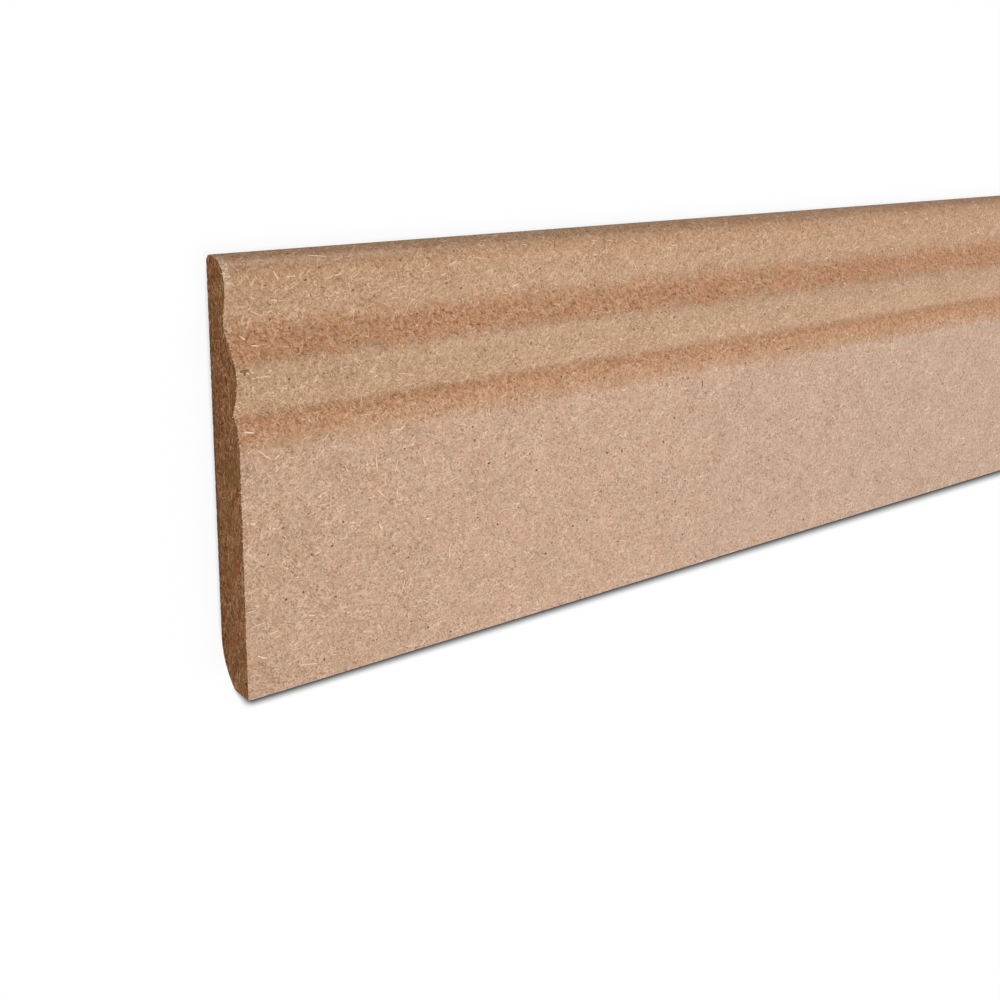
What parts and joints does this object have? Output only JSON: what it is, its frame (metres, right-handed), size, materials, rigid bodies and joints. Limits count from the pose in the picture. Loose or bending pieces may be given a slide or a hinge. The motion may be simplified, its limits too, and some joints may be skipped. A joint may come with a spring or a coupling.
{
  "type": "skirting board length",
  "caption": "Straight length of unpainted fibreboard skirting, moulded with an ogee, a quirk and a bead along its top edge, its lower back corner rounded.",
  "frame": {"origin": "under the middle of the board, in the plane of its back, which lies on the floor", "axes": "+X along the board's length, +Y across its width from the plain bottom edge to the moulded top edge, +Z out of its face"},
  "size_m": [2.4, 0.119, 0.0145],
  "materials": {
    "raw_fibreboard": "matte"
  },
  "bodies": {
    "root": {"skirting_board": "raw_fibreboard"}
  },
  "joints": []
}
